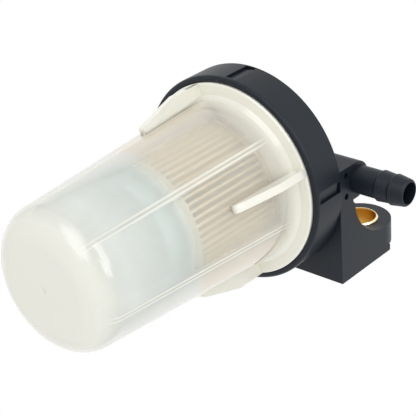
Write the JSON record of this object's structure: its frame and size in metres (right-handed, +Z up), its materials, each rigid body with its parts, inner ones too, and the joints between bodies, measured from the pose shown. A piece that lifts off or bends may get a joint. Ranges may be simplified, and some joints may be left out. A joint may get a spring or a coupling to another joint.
{
  "type": "fuel filter",
  "caption": "In-line fuel filter for a small engine: moulded head with hose barbs and a bolt lug, see-through screw-on bowl and a pleated paper element.",
  "frame": {"origin": "middle of the bracket bolt's bush, on the bolt's axis", "axes": "+Z up as the filter hangs in use, +X along the outlet barb, +Y out of the lug's bracket face; the bolt goes in towards +Y"},
  "size_m": [0.0911, 0.064, 0.119],
  "materials": {
    "head_plastic": "black moulded plastic, satin",
    "bush_brass": "turned brass",
    "bowl_plastic": "milky see-through moulded plastic, glossy",
    "seal_rubber": "black nitrile rubber",
    "cap_plastic": "white moulded plastic",
    "filter_paper": "pleated resin-treated filter paper",
    "core_plastic": "white moulded plastic",
    "bond_resin": "set bonding resin"
  },
  "bodies": {
    "head": {"head": "head_plastic", "mounting_bush": "bush_brass"},
    "sealing_ring": {"bowl_o_ring": "seal_rubber"},
    "bowl": {"bowl": "bowl_plastic"},
    "element": {"element_top_cap": "cap_plastic", "element_bottom_cap": "cap_plastic", "filter_paper": "filter_paper", "element_core": "core_plastic", "element_seal": "seal_rubber", "top_bond": "bond_resin", "bottom_bond": "bond_resin"}
  },
  "joints": [
    {"name": "bowl_drop", "type": "slide", "parent": "head", "child": "sealing_ring", "axis": [0, 0, -1], "range_m": [0, 0.0038]},
    {"name": "bowl_unscrew", "type": "hinge", "parent": "sealing_ring", "child": "bowl", "pos_m": [-0.0215, -0.0261, -0.0341], "axis": [0, 0, -1], "range_deg": [0, 450]},
    {"name": "element_pull", "type": "slide", "parent": "head", "child": "element", "axis": [0, 0, -1], "range_m": [0, 0.007]}
  ],
  "couplings": [
    {"joint": "bowl_drop", "follows": "bowl_unscrew", "m_per_rad": 0.00047746}
  ]
}
